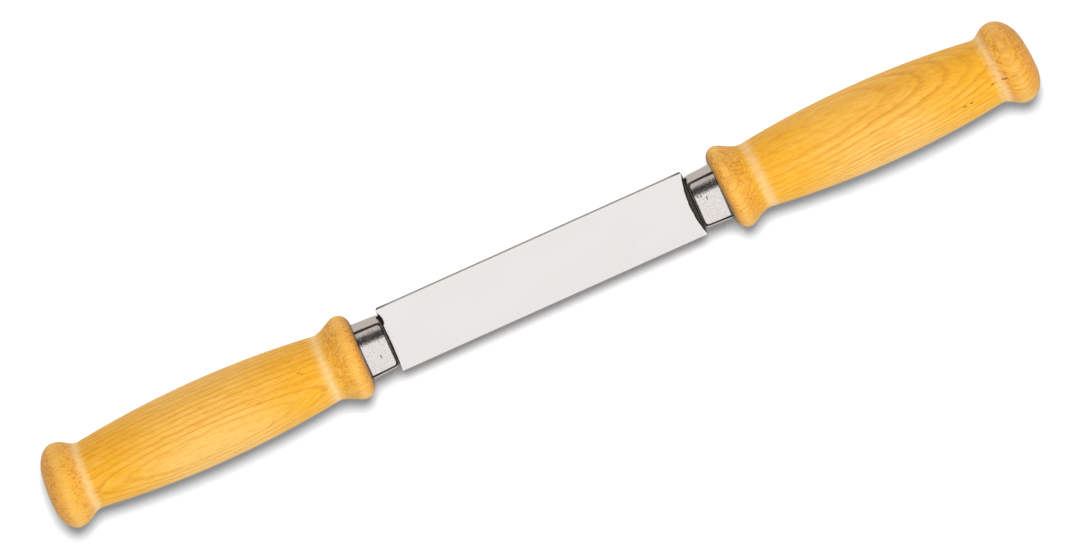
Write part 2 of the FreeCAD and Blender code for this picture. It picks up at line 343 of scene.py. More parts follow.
def make_handle(side, name, own_shape, seed, material):
    lean = own_shape["lean"]
    outline_points = handle_outline(own_shape)
    cut, painted_highlight, painted_shade = turning_marks(outline_points, own_shape)
    rings = []
    for distance, radius in outline_points:
        x = FRONT_FACE_X + distance
        outline = ellipse(radius, radius * OVAL) * hand_wobble(x, seed)[:, None]
        leaning = lean[0] + distance / own_shape["length"] * (lean[1] - lean[0])
        rings.append(ring(x - leaning * outline[:, 0], outline))
    front = rings[-1]
    rebate = ferrule_outline(FRONT_FACE_X, -FIT_GAP)
    rebate_mouth = ring(FRONT_FACE_X + SEAM - lean[0] * rebate[:, 0], rebate)
    seam_lip = ferrule_outline(FRONT_FACE_X, -FIT_GAP - SEAM)
    seam_edge = ring(FRONT_FACE_X - lean[0] * seam_lip[:, 0], seam_lip)
    rebate_floor = ring(RIM_X, ferrule_outline(RIM_X, -FIT_GAP))
    spigot_root = ring(RIM_X, ferrule_outline(RIM_X, FERRULE_WALL + FIT_GAP))
    spigot_x = SHOULDER_X + FERRULE_END_WALL + FIT_GAP
    spigot_end = ring(spigot_x, ferrule_outline(spigot_x, FERRULE_WALL + FIT_GAP))
    mortise_mouth = ring(spigot_x, mortise_outline(spigot_x))
    mortise_end_x = SHOULDER_X + TANG_LENGTH + GLUE_FILM
    mortise_end = ring(mortise_end_x, mortise_outline(mortise_end_x))
    rings += between(front, seam_edge, (0.04, 0.3, 0.65, 0.9, 1.0))
    rings += between(seam_edge, rebate_mouth, (0.5, 1.0))
    rings += between(rebate_mouth, rebate_floor, (0.08, 0.5, 0.95, 1.0))
    rings += between(rebate_floor, spigot_root, (0.5, 1.0))
    rings += between(spigot_root, spigot_end, (0.02, 0.5, 0.98, 1.0))
    rings += between(spigot_end, mortise_mouth, (0.5, 1.0))
    rings += between(mortise_mouth, mortise_end, (0.01, 0.25, 0.5, 0.75, 0.99, 1.0))
    handle = mesh_from_rings(name, rings, side, "root", material)
    per_ring = {"cut": (cut, 1.0), "painted_highlight": (painted_highlight, 0.0), "painted_shade": (painted_shade, 0.8)}
    for label, (values, beyond) in per_ring.items():
        spread = np.full(len(handle.data.vertices), beyond, np.float32)
        spread[:len(values) * AROUND] = np.repeat(values, AROUND)
        handle.data.attributes.new(label, "FLOAT", "POINT").data.foreach_set("value", spread)
    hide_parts(name.replace("turned_", ""))


def dented(outline_ring, dents):
    """Pushes a ring inwards near each dent (x, y, radius, depth) on its upper side."""
    dented_ring = outline_ring.copy()
    for x, y, radius, depth in dents:
        reach = np.hypot(outline_ring[:, 0] - x, outline_ring[:, 1] - y) / radius
        on_top = outline_ring[:, 2] > 0
        dented_ring[:, 2] -= depth * np.exp(-reach ** 2) * on_top
    return dented_ring


def make_ferrule(side, name, dents, material):
    along_rounding, in_rounding = FERRULE_END_ROUNDING
    chamfered_rim = ring(RIM_X, ferrule_outline(RIM_X, FERRULE_RIM_CHAMFER))
    rings = [chamfered_rim, ring(RIM_X - FERRULE_RIM_CHAMFER, ferrule_outline(RIM_X))]
    for x in np.linspace(RIM_X - 0.5, SHOULDER_X + along_rounding, 60):
        rings.append(dented(ring(x, ferrule_outline(x)), dents))
    for turn in np.linspace(0, math.pi / 2, 12)[1:]:
        x = SHOULDER_X + along_rounding * (1 - math.sin(turn))
        rings.append(ring(x, ferrule_outline(x, in_rounding * (1 - math.cos(turn)))))
    slot_mouth = ring(SHOULDER_X, rectangle(SLOT_HALF[0] + SLOT_CHAMFER, SLOT_HALF[1] + SLOT_CHAMFER))
    slot_start = ring(SHOULDER_X + SLOT_CHAMFER, rectangle(*SLOT_HALF))
    inner_x = SHOULDER_X + FERRULE_END_WALL
    slot_end = ring(inner_x, rectangle(*SLOT_HALF))
    inner_corner = ring(inner_x, ferrule_outline(inner_x, FERRULE_WALL + FERRULE_INSIDE_CHAMFER))
    inside_x = inner_x + FERRULE_INSIDE_CHAMFER
    inner_start = ring(inside_x, ferrule_outline(inside_x, FERRULE_WALL))
    inner_rim = ring(RIM_X, ferrule_outline(RIM_X, FERRULE_WALL))
    rings += between(rings[-1], slot_mouth, (0.05, 0.5, 0.95, 1.0))
    rings += between(slot_start, slot_end, (0.0, 0.05, 0.95, 1.0))
    rings += between(slot_end, inner_corner, (0.05, 0.5, 1.0))
    rings += between(inner_start, inner_rim, (0.0, 0.3, 0.6, 0.97, 1.0))
    rings.append(ring(RIM_X, ferrule_outline(RIM_X, FERRULE_WALL / 2)))
    ferrule = mesh_from_rings(name, rings, side, "root", material, closed_loop=True)
    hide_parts(name.replace("pressed_", ""))


# ---- material graphs ----------------------------------------------------------------------------------
class Graph:
    """Builds a node tree a line at a time. Values may be numbers, colours or outputs of earlier nodes."""

    def __init__(self, tree):
        self.tree = tree
        tree.nodes.clear()

    def node(self, kind, inputs=(), **settings):
        made = self.tree.nodes.new(kind)
        for key, value in settings.items():
            setattr(made, key, value)
        for key, value in dict(inputs).items():
            self.feed(made.inputs[key], value)
        return made

    def feed(self, socket, value):
        if isinstance(value, bpy.types.NodeSocket):
            self.tree.links.new(value, socket)
        elif value is not None:
            socket.default_value = value

    def math(self, operation, a, b=None, c=None):
        made = self.node("ShaderNodeMath", operation=operation)
        for socket, value in zip(made.inputs, (a, b, c)):
            self.feed(socket, value)
        return made.outputs[0]

    def vector(self, operation, a, b=None, output=0):
        made = self.node("ShaderNodeVectorMath", operation=operation)
        for socket, value in zip(made.inputs, (a, b)):
            self.feed(socket, value)
        return made.outputs[output]

    def scaled(self, vector, x, y, z):
        return self.vector("MULTIPLY", vector, (x, y, z))

    def split(self, vector):
        return self.node("ShaderNodeSeparateXYZ", {"Vector": vector}).outputs

    def join(self, x, y, z):
        return self.node("ShaderNodeCombineXYZ", {"X": x, "Y": y, "Z": z}).outputs[0]

    def noise(self, vector, scale=1.0, detail=2.0, roughness=0.5):
        inputs = {"Vector": vector, "Scale": scale, "Detail": detail, "Roughness": roughness}
        return self.node("ShaderNodeTexNoise", inputs).outputs["Fac"]

    def cells(self, vector, scale=1.0):
        """Distance to the nearest of many scattered points."""
        return self.node("ShaderNodeTexVoronoi", {"Vector": vector, "Scale": scale}).outputs["Distance"]

    def spread(self, value, low, high, to_low=0.0, to_high=1.0, smooth=True):
        """Maps low..high to to_low..to_high, clamped."""
        made = self.node("ShaderNodeMapRange", interpolation_type="SMOOTHSTEP" if smooth else "LINEAR")
        for key, part in zip(("Value", "From Min", "From Max", "To Min", "To Max"),
                             (value, low, high, to_low, to_high)):
            self.feed(made.inputs[key], part)
        return made.outputs[0]

    def mix(self, share, a, b):
        made = self.node("ShaderNodeMix", data_type="RGBA")
        for socket, value in ((made.inputs[0], share), (made.inputs[6], a), (made.inputs[7], b)):
            self.feed(socket, value)
        return made.outputs[2]

    def ramp(self, value, stops):
        made = self.node("ShaderNodeValToRGB", {"Fac": value})
        elements = made.color_ramp.elements
        while len(elements) < len(stops):
            elements.new(0.5)
        for element, (position, colour) in zip(elements, stops):
            element.position = position
            element.color = colour
        return made.outputs["Color"]

    def bump(self, height, strength, distance):
        inputs = {"Height": height, "Strength": strength, "Distance": distance}
        return self.node("ShaderNodeBump", inputs).outputs[0]

    def surface(self, **inputs):
        shader = self.node("ShaderNodeBsdfPrincipled", {k.replace("_", " "): v for k, v in inputs.items()})
        self.node("ShaderNodeOutputMaterial", {"Surface": shader.outputs[0]})


def new_material(name):
    material = bpy.data.materials.new(name)
    material.use_nodes = True
    return material, Graph(material.node_tree)


def rgb(red, green, blue):
    """Linear colour from display values 0..255."""
    def linear(value):
        value /= 255
        return value / 12.92 if value <= 0.04045 else ((value + 0.055) / 1.055) ** 2.4
    return linear(red), linear(green), linear(blue), 1.0


def positions(graph):
    """Position in millimetres from the blade's middle."""
    place = graph.node("ShaderNodeTexCoord").outputs["Object"]
    place = graph.scaled(place, 1 / MM, 1 / MM, 1 / MM)
    return graph.vector("SUBTRACT", place, (BLADE_MIDDLE, 0, 0))


# ---- wood ---------------------------------------------------------------------------------------------
# pale wood for the grain, also used for the painted sheen on the belly
WOOD_PALE_AND_SHEEN = (0.90, 0.575, 0.165, 1)
WOOD_GOLD = (0.88, 0.470, 0.032, 1)
WOOD_DEEP = (0.87, 0.415, 0.055, 1)
# painted highlight colour for the lacquer's sheen at the necks and crests
WOOD_HIGHLIGHT_PAINT = (0.90, 0.66, 0.36, 1)
WOOD_LINE = (0.63, 0.260, 0.012, 1)
WOOD_PORE = (0.42, 0.135, 0.012, 1)
WOOD_FLECK = (0.13, 0.055, 0.015, 1)
# painted shade colour for the front face beside the ferrule
WOOD_SHADE_PAINT = (0.10, 0.045, 0.02, 1)
WOOD_BOUNCED = (0.34, 0.34, 0.34, 1)

HEART_DISTANCE = 60.0          # from the handle's axis to the tree's heart


def birch(name, figure, flecks):
    """Lacquered birch. Quoted words are the keys of figure. The growth rings face a direction turned from
    +Z towards +Y by "facing" degrees, and "twist" turns it further for every millimetre away from
    x = "middle". There they also lean and bend along X by "lean" and "bend". The outermost full ring lies
    "reach" mm from the handle's axis and is "width" mm wide, and each ring inwards is wider than the last by
    "widening". "late" is the dark share of a ring, and "unrest" scales the rings' waviness.

    "pale_low" and "pale_high" set how strong the painted sheen on the belly is on the edge side and on the
    spine side, "rough_low" is how rough cut fibres are on the edge side, as a share, and "late_on_rings" is
    how dark the late wood is on the handle's flared rings. flecks lists small dark marks along the grain as
    (x, y, half length, strength), on the upper side."""
    material, g = new_material(name)
    place = positions(g)
    x, y, z = g.split(place)
    along = g.math("SUBTRACT", x, figure["middle"])
    away = g.math("ABSOLUTE", along)
    angle = g.math("MULTIPLY_ADD", away, math.radians(figure["twist"]), math.radians(figure["facing"]))
    sine, cosine = g.math("SINE", angle), g.math("COSINE", angle)

    # depth below the outermost ring, bent by slow and fine noise
    up = g.math("ADD", g.math("MULTIPLY", y, sine), g.math("MULTIPLY", z, cosine))
    across = g.math("SUBTRACT", g.math("MULTIPLY", y, cosine), g.math("MULTIPLY", z, sine))
    round_heart = g.math("DIVIDE", g.math("MULTIPLY", across, across), 2 * HEART_DISTANCE)
    lengthwise = g.math("MULTIPLY", along, g.math("MULTIPLY_ADD", along, figure["bend"], figure["lean"]))
    height = g.math("ADD", g.math("ADD", up, round_heart), lengthwise)
    for scale_along, scale_across, size in ((0.012, 0.05, 0.25), (0.045, 0.30, 0.30), (0.20, 1.3, 0.28)):
        noise = g.noise(g.scaled(place, scale_along, scale_across, scale_across), 1.0, 2.0)
        height = g.math("MULTIPLY_ADD", g.math("SUBTRACT", noise, 0.5), size * figure["unrest"], height)
    depth = g.math("SUBTRACT", figure["reach"], height)
    widening, width = figure["widening"], figure["width"] - figure["widening"] / 2
    grown = g.math("MULTIPLY_ADD", g.math("MAXIMUM", depth, 0.0), 2 * widening, width ** 2)
    inner_turn = g.math("DIVIDE", g.math("SUBTRACT", g.math("SQRT", grown), width), widening)
    outer_turn = g.math("DIVIDE", g.math("MINIMUM", depth, 0.0), width)
    turn = g.math("ADD", inner_turn, outer_turn)
    phase = g.math("FRACT", turn)
    late = g.math("MULTIPLY", g.spread(phase, 0.0, 0.08), g.spread(phase, figure["late"], 0.10))
    boldness = g.node("ShaderNodeTexWhiteNoise", {"W": g.math("FLOOR", turn)}, noise_dimensions="1D")
    patchy = g.noise(g.scaled(place, 0.03, 0.2, 0.2), 1.0, 2.0)
    late = g.math("MULTIPLY", late, g.spread(boldness.outputs["Value"], 0.0, 1.0, 0.65, 1.0))
    late = g.math("MULTIPLY", late, g.spread(patchy, 0.35, 0.62, 0.65, 1.0))
    late = g.math("MULTIPLY", late, g.math("ADD", g.spread(turn, 0.5, 0.9), g.spread(turn, -0.5, -0.9)))
    # thinner false rings between the true ones
    false_phase = g.math("FRACT", g.math("MULTIPLY_ADD", turn, 2.7, 0.4))
    false_ring = g.math("MULTIPLY", g.spread(false_phase, 0.0, 0.15), g.spread(false_phase, 0.55, 0.20))
    false_ring = g.math("MULTIPLY", false_ring, g.spread(patchy, 0.62, 0.40))

    # how far the surface cuts across the fibres, the painted highlights at necks and crests, and painted
    # shade by the ferrule
    cut = g.node("ShaderNodeAttribute", attribute_name="cut").outputs["Fac"]
    painted_highlight = g.node("ShaderNodeAttribute", attribute_name="painted_highlight").outputs["Fac"]
    painted_shade = g.node("ShaderNodeAttribute", attribute_name="painted_shade").outputs["Fac"]
    mottle = g.noise(g.scaled(place, 0.09, 0.22, 0.22), 1.0, 3.0, 0.6)
    cut_wandered = g.math("ADD", cut, g.math("MULTIPLY", g.math("SUBTRACT", mottle, 0.5), 0.07))
    base = g.mix(g.spread(cut, 0.32, 0.60), WOOD_GOLD, WOOD_DEEP)
    # painted sheen: the belly's middle is paler, more so on the edge side
    belly_sheen_paint = g.spread(y, -9.0, 9.0, figure["pale_low"], figure["pale_high"])
    base = g.mix(g.math("MULTIPLY", g.spread(cut_wandered, 0.110, 0.020), belly_sheen_paint), base, WOOD_PALE_AND_SHEEN)

    # fibres: streaks along X, coarse ones that show at arm's length and fine ones that show close up
    coarse = g.noise(g.scaled(place, 0.16, 2.1, 2.1), 1.0, 2.0, 0.7)
    fibre = g.noise(g.scaled(place, 0.40, 6.0, 6.0), 1.0, 2.0, 0.6)
    streak = g.noise(g.scaled(place, 0.04, 1.1, 1.1), 1.0, 2.0, 0.5)
    base = g.mix(g.math("MULTIPLY", g.spread(streak, 0.45, 0.75), 0.14), base, WOOD_LINE)
    cloud = g.noise(g.scaled(place, 0.07, 0.40, 0.40), 1.0, 3.0, 0.6)
    base = g.mix(g.math("MULTIPLY", g.spread(cloud, 0.50, 0.72), 0.28), base, WOOD_LINE)
    base = g.mix(g.math("MULTIPLY", g.spread(cloud, 0.48, 0.28), 0.35), base, WOOD_PALE_AND_SHEEN)
    late_strength = g.spread(cut, 0.10, 0.20, 0.66, figure["late_on_rings"])
    false_strength = g.spread(cut, 0.10, 0.20, 0.22, 0.7 * figure["late_on_rings"])
    base = g.mix(g.math("MULTIPLY", late, late_strength), base, WOOD_LINE)
    base = g.mix(g.math("MULTIPLY", false_ring, false_strength), base, WOOD_LINE)
    base = g.mix(g.math("MULTIPLY", g.spread(coarse, 0.50, 0.70), 0.40), base, WOOD_LINE)
    base = g.mix(g.math("MULTIPLY", g.spread(coarse, 0.48, 0.28), 0.25), base, WOOD_PALE_AND_SHEEN)
    base = g.mix(g.math("MULTIPLY", g.spread(fibre, 0.50, 0.72), 0.32), base, WOOD_LINE)
    grit = g.noise(g.scaled(place, 0.8, 1.3, 1.3), 1.0, 3.0, 0.75)
    roughness_of_cut = g.spread(y, -8.0, 6.0, figure["rough_low"], 1.0)
    open_grain = g.math("MULTIPLY", g.spread(cut, 0.12, 0.45), roughness_of_cut)
    dark_grit = g.math("MULTIPLY", g.spread(grit, 0.50, 0.68), open_grain)
    base = g.mix(g.math("MULTIPLY", dark_grit, 0.70), base, WOOD_PORE)
    pale_grit = g.math("MULTIPLY", g.spread(grit, 0.48, 0.34), open_grain)
    base = g.mix(g.math("MULTIPLY", pale_grit, 0.50), base, WOOD_PALE_AND_SHEEN)
    # painted highlight: the lacquer's sheen at the necks and crests
    highlight_share = g.math("MULTIPLY", painted_highlight, g.spread(coarse, 0.3, 0.7, 0.85, 0.55))
    base = g.mix(highlight_share, base, WOOD_HIGHLIGHT_PAINT)

    # pores: short dashes along the grain, dots where the fibres are cut across
    pore = g.spread(g.cells(g.scaled(place, 0.45, 2.2, 2.2), 1.0), 0.40, 0.15)
    pore_here = g.spread(g.noise(g.scaled(place, 0.2, 1.1, 1.1), 1.0, 1.0), 0.40, 0.58)
    pore = g.math("MULTIPLY", pore, pore_here)
    pore = g.math("MULTIPLY", pore, g.spread(cut, 0.10, 0.5, 0.20, 0.80))
    pore = g.math("MULTIPLY", pore, g.math("SUBTRACT", 1.0, g.math("MULTIPLY", painted_highlight, 0.8)))
    base = g.mix(pore, base, WOOD_PORE)

    # flecks, and painted shade where the wood meets the ferrule
    marks = 0.0
    for fleck_x, fleck_y, half_length, strength in flecks:
        offset = g.vector("SUBTRACT", g.join(x, y, 0.0), (fleck_x, fleck_y, 0.0))
        distance = g.vector("LENGTH", g.scaled(offset, 1 / half_length, 2.4, 0.0), output=1)
        marks = g.math("MAXIMUM", marks, g.math("MULTIPLY", g.spread(distance, 1.0, 0.35), strength))
    upper = g.spread(z, 0.0, 1.0)
    ragged = g.spread(g.noise(g.scaled(place, 1.2, 6.0, 6.0), 1.0, 1.0), 0.3, 0.55, 0.6, 1.0)
    base = g.mix(g.math("MULTIPLY", g.math("MULTIPLY", marks, upper), ragged), base, WOOD_FLECK)
    # painted shade on the front face beside the ferrule
    base = g.mix(painted_shade, base, WOOD_SHADE_PAINT)
    # the floor sees the handles without their colour, so that it stays neutral beside them
    seen_by_floor = g.node("ShaderNodeLightPath").outputs["Is Diffuse Ray"]
    base = g.mix(seen_by_floor, base, WOOD_BOUNCED)

    # relief under the lacquer: pores, fibre, and faint lathe rings round the handle
    lathe = g.noise(g.join(g.math("MULTIPLY", x, 1.9), 0.0, 0.0), 1.0, 2.0)
    relief = g.math("ADD", g.math("MULTIPLY", fibre, 0.5), g.math("MULTIPLY", lathe, 0.35))
    relief = g.math("SUBTRACT", relief, pore)
    roughness = g.spread(g.noise(g.scaled(place, 0.2, 0.5, 0.5), 1.0, 3.0), 0.2, 0.8, 0.42, 0.58)
    g.surface(
        Base_Color=base,
        Roughness=roughness,
        Normal=g.bump(relief, 0.35, 0.00010),
        Specular_IOR_Level=0.3,
        Coat_Weight=0.22,
        Coat_Roughness=g.spread(mottle, 0.3, 0.7, 0.20, 0.34),
        Coat_Normal=g.bump(lathe, 0.10, 0.00006),
        Coat_IOR=1.5,
    )
    return material


# ---- metals --------------------------------------------------------------------------------------------
STEEL_BRIGHT = rgb(246, 242, 239)
STEEL_SCALE = rgb(64, 60, 58)
STEEL_BLACK = rgb(26, 23, 21)
STEEL_SPINE = rgb(186, 182, 178)

SPINE_DARKENS = 50.0           # mm from the blade's middle to where its spine starts to darken
SPINE_DARKEST = 56.0
NOTCH_SHADOW_CENTRE = (-SHOULDER_X, 7.8)     # painted shadow in the notch by the left shoulder, in mm
NOTCH_SHADOW_HALF = (1.15, 2.4)
FERRULE_GREY = rgb(240, 233, 229)
FERRULE_DARK = rgb(120, 112, 108)
# colour of pits, nicks, dark corners and painted shade
FERRULE_MARKS_AND_SHADE = rgb(50, 45, 42)


def blade_steel():
    """Satin-ground faces and bevels, dark scale left on the crescents and tangs, painted shade at the
    shoulders and in a notch by the left shoulder, and a dull spine that is black at its ends."""
    material, g = new_material("blade_steel")
    place = positions(g)
    x, y, _ = g.split(place)
    normal = g.split(g.node("ShaderNodeTexCoord").outputs["Normal"])
    wander = g.noise(g.scaled(place, 0.5, 0.5, 0.5), 1.0, 3.0)
    wander = g.math("MULTIPLY", g.math("SUBTRACT", wander, 0.5), 0.5)
    ground = None
    shortfall = 0.0            # how far inside a crescent, in mm
    for end, rise in ((1, PLUNGE_RIGHT), (-1, PLUNGE_LEFT)):
        radius = ((BLADE_WIDTH / 2) ** 2 + rise ** 2) / (2 * rise)
        centre = end * (SHOULDER_X - rise + radius)
        distance = g.vector("LENGTH", g.join(g.math("SUBTRACT", x, centre), y, 0.0), output=1)
        clear = g.spread(g.math("ADD", distance, wander), radius - 0.1, radius + 0.1)
        ground = clear if ground is None else g.math("MULTIPLY", ground, clear)
        shortfall = g.math("MAXIMUM", shortfall, g.math("SUBTRACT", radius, distance))
    # painted shadow of the notch between blade and ferrule
    notch_shadow = g.vector("SUBTRACT", g.join(x, y, 0.0), (*NOTCH_SHADOW_CENTRE, 0.0))
    notch_shadow = g.scaled(notch_shadow, 1 / NOTCH_SHADOW_HALF[0], 1 / NOTCH_SHADOW_HALF[1], 0.0)
    notch_shadow = g.vector("LENGTH", notch_shadow, output=1)
    notch_shadow = g.spread(g.math("ADD", notch_shadow, wander), 1.1, 0.85)
    ground = g.math("MULTIPLY", ground, g.math("SUBTRACT", 1.0, notch_shadow))
    on_face = g.spread(g.math("ABSOLUTE", normal[2]), 0.3, 0.6)
    ground = g.math("MULTIPLY", ground, on_face)

    lines = g.noise(g.scaled(place, 9.0, 0.12, 0.12), 1.0, 3.0, 0.6)
    long_lines = g.noise(g.scaled(place, 0.05, 7.0, 7.0), 1.0, 3.0, 0.6)
    cloud = g.noise(g.scaled(place, 0.05, 0.1, 0.1), 1.0, 2.0)
    bright = g.mix(g.spread(lines, 0.3, 0.75, 0.0, 0.10), STEEL_BRIGHT, rgb(205, 202, 200))
    bright = g.mix(g.spread(cloud, 0.3, 0.7, 0.0, 0.06), bright, rgb(214, 208, 202))
    scale_spots = g.noise(place, 1.6, 4.0, 0.65)
    scale = g.mix(g.spread(scale_spots, 0.3, 0.7), STEEL_SCALE, rgb(98, 93, 89))
    # darker where the grind stops and on the ends of the spine; painted shade in the gaps at the shoulders
    # and in the notch
    outline = g.spread(shortfall, 0.75, 0.15)
    far_out = g.math("ABSOLUTE", x)
    # painted shade in the gap at each shoulder
    shoulder_gap_shade = g.spread(far_out, SHOULDER_X - 0.35, SHOULDER_X - 0.1)
    outline = g.math("MAXIMUM", g.math("MAXIMUM", outline, shoulder_gap_shade), notch_shadow)
    scale = g.mix(outline, scale, STEEL_BLACK)
    on_spine = g.spread(normal[1], 0.25, 0.6)
    scale = g.mix(on_spine, scale, STEEL_SPINE)
    spine_end = g.math("MULTIPLY", on_spine, g.spread(far_out, SPINE_DARKENS, SPINE_DARKEST, 0.0, 0.85))
    ground = g.math("MULTIPLY", ground, g.math("SUBTRACT", 1.0, spine_end))
    scale = g.mix(spine_end, scale, STEEL_BLACK)
    relief = g.math("ADD", lines, g.math("MULTIPLY", long_lines, 0.5))
    relief = g.math("ADD", g.math("MULTIPLY", relief, ground), g.math("MULTIPLY", scale_spots, 0.6))
    g.surface(
        Base_Color=g.mix(ground, scale, bright),
        Metallic=g.spread(ground, 0.0, 1.0, 0.55, 1.0),
        Roughness=g.math("ADD", g.spread(ground, 0.0, 1.0, 0.55, 0.20), g.math("MULTIPLY", lines, 0.06)),
        Normal=g.bump(relief, 0.10, 0.00004),
    )
    return material


BRIGHT_SIDE_START = 0.75       # mm from the ferrule's end to the bright part of its broad side
BRIGHT_SIDE_HALF = 7.7         # half its height
BRIGHT_CORNER_RADIUS = 1.3

FERRULE_NICKS = (              # (x, y, half length along X, half length along Y) on the upper side
    (-61.0, -2.6, 0.22, 0.75),
    (60.9, 1.3, 0.22, 0.80),
    (59.3, 2.5, 0.30, 0.40),
    (58.2, 2.8, 0.25, 0.35),
)


def ferrule_metal():
    """Tumbled plated metal: mottled, finely pitted, darker along its corners, with painted shade round its
    end and beside the wood.
    """
    material, g = new_material("ferrule_metal")
    place = positions(g)
    x, y, z = g.split(place)
    mottle = g.noise(place, 1.7, 4.0, 0.65)
    speck = g.noise(place, 5.5, 3.0, 0.7)
    pits = g.spread(g.cells(place, 2.8), 0.34, 0.10)
    pits = g.math("MULTIPLY", pits, g.spread(g.noise(place, 0.9, 2.0), 0.45, 0.62))
    scratch = g.noise(g.scaled(place, 0.6, 6.0, 6.0), 1.0, 2.0, 0.6)
    worn = g.math("ADD", g.math("MULTIPLY", g.spread(mottle, 0.40, 0.75), 0.22),
                  g.math("MULTIPLY", g.spread(speck, 0.48, 0.75), 0.30))
    colour = g.mix(worn, FERRULE_GREY, FERRULE_DARK)

    # darker where the surface turns between the broad and narrow sides; painted shade round the end wall,
    # beside the wood and round the bright broad side
    nx, ny, nz = g.split(g.node("ShaderNodeNewGeometry").outputs["Normal"])
    lean = g.math("ARCTAN2", g.math("ABSOLUTE", ny), g.math("ABSOLUTE", nz))
    off_narrow_side = g.spread(lean, math.radians(61), math.radians(56))
    corner = g.math("MULTIPLY", g.spread(lean, math.radians(20), math.radians(26)), off_narrow_side)
    end_wall_shade = g.spread(g.math("ABSOLUTE", nx), 0.40, 0.62)
    from_middle = g.math("ABSOLUTE", x)
    shade_by_wood = g.spread(from_middle, FRONT_FACE_X - 0.6, FRONT_FACE_X - 0.2)
    # painted shade round the bright broad side, which ends in rounded corners
    inwards = g.math("SUBTRACT", SHOULDER_X + BRIGHT_SIDE_START + BRIGHT_CORNER_RADIUS, from_middle)
    outwards = g.math("SUBTRACT", g.math("ABSOLUTE", y), BRIGHT_SIDE_HALF - BRIGHT_CORNER_RADIUS)
    past_turn = g.join(g.math("MAXIMUM", inwards, 0.0), g.math("MAXIMUM", outwards, 0.0), 0.0)
    past_turn = g.vector("LENGTH", past_turn, output=1)
    past_turn = g.spread(past_turn, BRIGHT_CORNER_RADIUS - 0.1, BRIGHT_CORNER_RADIUS + 0.1)
    shade_border = g.math("MULTIPLY", past_turn, off_narrow_side)
    dark_edges_and_shade = g.math("MAXIMUM", g.math("MAXIMUM", corner, end_wall_shade), g.math("MAXIMUM", shade_by_wood, shade_border))
    dark_edges_and_shade = g.math("MULTIPLY", dark_edges_and_shade, g.spread(mottle, 0.25, 0.60, 0.75, 0.97))
    nicks = 0.0
    for nick_x, nick_y, half_x, half_y in FERRULE_NICKS:
        offset = g.vector("SUBTRACT", g.join(x, y, 0.0), (nick_x, nick_y, 0.0))
        distance = g.vector("LENGTH", g.scaled(offset, 1 / half_x, 1 / half_y, 0.0), output=1)
        nicks = g.math("MAXIMUM", nicks, g.spread(distance, 1.2, 0.6))
    nicks = g.math("MULTIPLY", nicks, g.spread(z, 0.0, 1.0))
    dark = g.math("MAXIMUM", g.math("MULTIPLY", pits, 0.7), dark_edges_and_shade)
    dark = g.math("MAXIMUM", dark, g.math("MULTIPLY", nicks, 0.85))
    colour = g.mix(dark, colour, FERRULE_MARKS_AND_SHADE)
    relief = g.math("SUBTRACT", g.math("MULTIPLY", mottle, 0.8), pits)
    relief = g.math("ADD", relief, g.math("MULTIPLY", speck, 0.35))
    relief = g.math("ADD", relief, g.math("MULTIPLY", scratch, 0.15))
    g.surface(
        Base_Color=colour,
        Metallic=1.0,
        Roughness=g.spread(mottle, 0.3, 0.7, 0.05, 0.11),
        Normal=g.bump(relief, 0.18, 0.00010),
    )
    return material


def adhesive():
    """Cast resin, amber and slightly cloudy."""
    material, g = new_material("tang_adhesive")
    place = positions(g)
    cloud = g.noise(place, 0.5, 3.0)
    bubbles = g.spread(g.cells(place, 0.9), 0.25, 0.15)
    g.surface(
        Base_Color=g.mix(cloud, rgb(190, 166, 118), rgb(160, 132, 84)),
        Roughness=g.spread(cloud, 0.3, 0.7, 0.30, 0.50),
        Normal=g.bump(bubbles, 0.3, 0.0002),
    )
    return material


# ---- build -----------------------------------------------------------------------------------------------
RIGHT_FLECKS = (
    (152.6, -5.9, 1.1, 0.85),
    (155.2, -5.7, 1.1, 0.85),
    (164.2, -2.7, 1.1, 0.75),
    (168.5, -2.4, 1.7, 0.95),
    (171.8, -2.7, 1.4, 0.50),
    (104.6, -4.1, 1.9, 0.18),
    (105.6, -4.7, 1.3, 0.15),
    (69.4, -6.9, 0.4, 0.85),
)
LEFT_FLECKS = (
    (-88.6, 4.6, 1.0, 0.35),
    (-87.6, 3.9, 0.8, 0.40),
)

RIGHT_FIGURE = {
    "facing": 41.0,
    "twist": -0.22,
    "middle": 122.0,
    "lean": -0.067,
    "bend": 0.0,
    "reach": 14.2,
    "width": 1.30,
    "widening": 0.02,
    "late": 0.62,
    "unrest": 2.2,
    "pale_low": 0.95,
    "pale_high": 0.40,
    "rough_low": 0.40,
    "late_on_rings": 0.90,
}
LEFT_FIGURE = {
    "facing": -16.5,
    "twist": 0.0,
    "middle": -123.0,
    "lean": 0.0,
    "bend": 0.00068,
    "reach": 12.55,
    "width": 0.35,
    "widening": 0.15,
    "late": 0.46,
    "unrest": 0.7,
    "pale_low": 1.0,
    "pale_high": 0.65,
    "rough_low": 0.85,
    "late_on_rings": 0.40,
}

right_wood = birch("birch_right", RIGHT_FIGURE, RIGHT_FLECKS)
left_wood = birch("birch_left", LEFT_FIGURE, LEFT_FLECKS)
steel = blade_steel()
plated = ferrule_metal()
resin = adhesive()

make_handle(1, "turned_right_handle", RIGHT_HANDLE, 11, right_wood)
make_handle(-1, "turned_left_handle", LEFT_HANDLE, 23, left_wood)
make_ferrule(1, "pressed_right_ferrule", ((61.4, 0.6, 0.8, 0.06), (63.8, -4.0, 0.5, 0.04)), plated)
make_ferrule(-1, "pressed_left_ferrule", ((60.3, -3.6, 0.7, 0.05), (62.6, -1.0, 0.5, 0.03)), plated)

for node, material in (("blade", steel), ("left_tang_glue", resin), ("right_tang_glue", resin)):
    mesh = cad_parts[node].data
    mesh.materials.clear()
    mesh.materials.append(material)


# ---- floor, light and camera -------------------------------------------------------------------------------
FLOOR_IN_REFLECTIONS = (0.43, 0.405, 0.38, 1)


